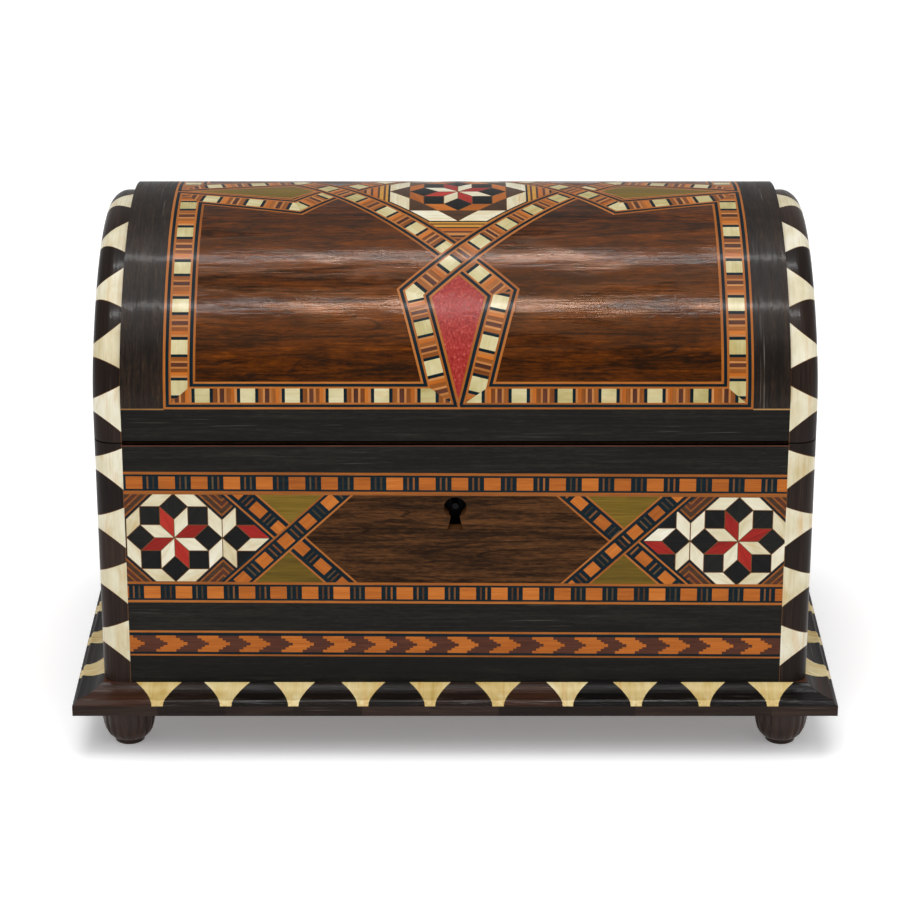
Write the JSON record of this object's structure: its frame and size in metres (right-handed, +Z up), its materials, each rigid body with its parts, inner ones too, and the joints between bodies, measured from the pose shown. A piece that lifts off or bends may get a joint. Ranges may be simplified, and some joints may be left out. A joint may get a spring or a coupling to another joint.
{
  "type": "music box",
  "caption": "Domed wooden music box with a hinged lid, lock, velvet well and a movement wound by a key underneath.",
  "frame": {"origin": "centre of the footprint, on the plane the feet stand on", "axes": "+X to the right seen from the front, +Y to the back, +Z up; the front with the keyhole faces -Y"},
  "size_m": [0.18, 0.1134, 0.1234],
  "materials": {
    "turned_wood": "varnished dark turned wood",
    "base_wood": "plain stained wood",
    "edge_marquetry": "gloss varnished rosewood with bone wedges",
    "case_wood": "plain sanded wood",
    "ebony_marquetry": "gloss varnished marquetry on an ebony ground",
    "rosewood_marquetry": "gloss varnished marquetry on a rosewood ground",
    "bone_strip": "gloss varnished bone and dark wood teeth",
    "velvet": "short pile velvet",
    "brass": "satin brass",
    "comb_steel": "ground steel",
    "spring_steel": "blued spring steel",
    "bright_steel": "bright steel"
  },
  "bodies": {
    "case": {"foot_front_left": "turned_wood", "foot_front_right": "turned_wood", "foot_back_left": "turned_wood", "foot_back_right": "turned_wood", "foot_screws": "bright_steel", "plinth_board": "base_wood", "plinth_edge_front": "edge_marquetry", "plinth_edge_back": "edge_marquetry", "plinth_edge_left": "edge_marquetry", "plinth_edge_right": "edge_marquetry", "bottom_board": "base_wood", "front_board": "case_wood", "back_board": "case_wood", "left_board": "case_wood", "right_board": "case_wood", "front_marquetry": "ebony_marquetry", "back_marquetry": "ebony_marquetry", "left_marquetry": "ebony_marquetry", "right_marquetry": "ebony_marquetry", "corner_strips": "bone_strip", "partition": "case_wood", "cover_cleats": "case_wood", "well_floor_velvet": "velvet", "well_wall_velvet": "velvet", "hinge_body_leaves": "brass", "hinge_pins": "bright_steel", "hinge_body_screws": "brass", "lock_case": "brass", "lock_screws": "brass", "bedplate": "brass", "comb": "comb_steel", "comb_screws": "bright_steel", "train_brackets": "brass", "barrel_bridge": "brass", "movement_screws": "bright_steel"},
    "lid": {"lid_front_rail": "case_wood", "lid_back_rail": "case_wood", "lid_crown_panel": "case_wood", "lid_left_end": "case_wood", "lid_right_end": "case_wood", "lid_marquetry": "rosewood_marquetry", "lid_end_veneers": "ebony_marquetry", "lid_left_strip": "bone_strip", "lid_right_strip": "bone_strip", "lid_velvet": "velvet", "hinge_lid_leaves": "brass", "hinge_lid_screws": "brass", "strike_plate": "brass"},
    "lock_bolt": {"lock_bolt": "bright_steel"},
    "cover": {"movement_cover": "case_wood", "cover_velvet": "velvet", "cover_knob": "brass"},
    "stop_rod": {"stop_rod": "bright_steel"},
    "key": {"winding_key": "brass", "winding_arbor": "bright_steel"},
    "barrel": {"barrel": "brass", "mainspring": "spring_steel"},
    "cylinder": {"pinned_cylinder": "brass"},
    "governor": {"governor_wheel": "brass"},
    "fan": {"governor_fan": "bright_steel"}
  },
  "joints": [
    {"name": "lid_hinge", "type": "hinge", "parent": "case", "child": "lid", "pos_m": [0, 0.0476, 0.07855], "axis": [-1, 0, 0], "range_deg": [0, 93]},
    {"name": "lock_bolt_slide", "type": "slide", "parent": "case", "child": "lock_bolt", "axis": [0, 0, 1], "range_m": [0, 0.0044]},
    {"name": "cover_slide", "type": "slide", "parent": "case", "child": "cover", "axis": [0, 0, 1], "range_m": [0, 0.02]},
    {"name": "stop_rod_slide", "type": "slide", "parent": "case", "child": "stop_rod", "axis": [0, 0, 1], "range_m": [0, 0.003]},
    {"name": "key_spin", "type": "hinge", "parent": "case", "child": "key", "pos_m": [0.061, 0, 0.016], "axis": [0, 0, 1], "continuous": true},
    {"name": "barrel_spin", "type": "hinge", "parent": "case", "child": "barrel", "pos_m": [0.061, 0, 0.029], "axis": [0, 0, 1], "continuous": true},
    {"name": "cylinder_spin", "type": "hinge", "parent": "case", "child": "cylinder", "pos_m": [0.039, 0, 0.0407], "axis": [1, 0, 0], "continuous": true},
    {"name": "governor_spin", "type": "hinge", "parent": "case", "child": "governor", "pos_m": [0.0275, 0.00762, 0.0363], "axis": [1, 0, 0], "continuous": true},
    {"name": "fan_spin", "type": "hinge", "parent": "case", "child": "fan", "pos_m": [0.0259, 0.01342, 0.036], "axis": [0, 0, 1], "continuous": true}
  ],
  "couplings": [
    {"joint": "stop_rod_slide", "follows": "lid_hinge", "m_per_rad": 0.00184},
    {"joint": "cylinder_spin", "follows": "barrel_spin", "ratio": -1.8},
    {"joint": "governor_spin", "follows": "barrel_spin", "ratio": 3.6},
    {"joint": "fan_spin", "follows": "barrel_spin", "ratio": -72}
  ]
}
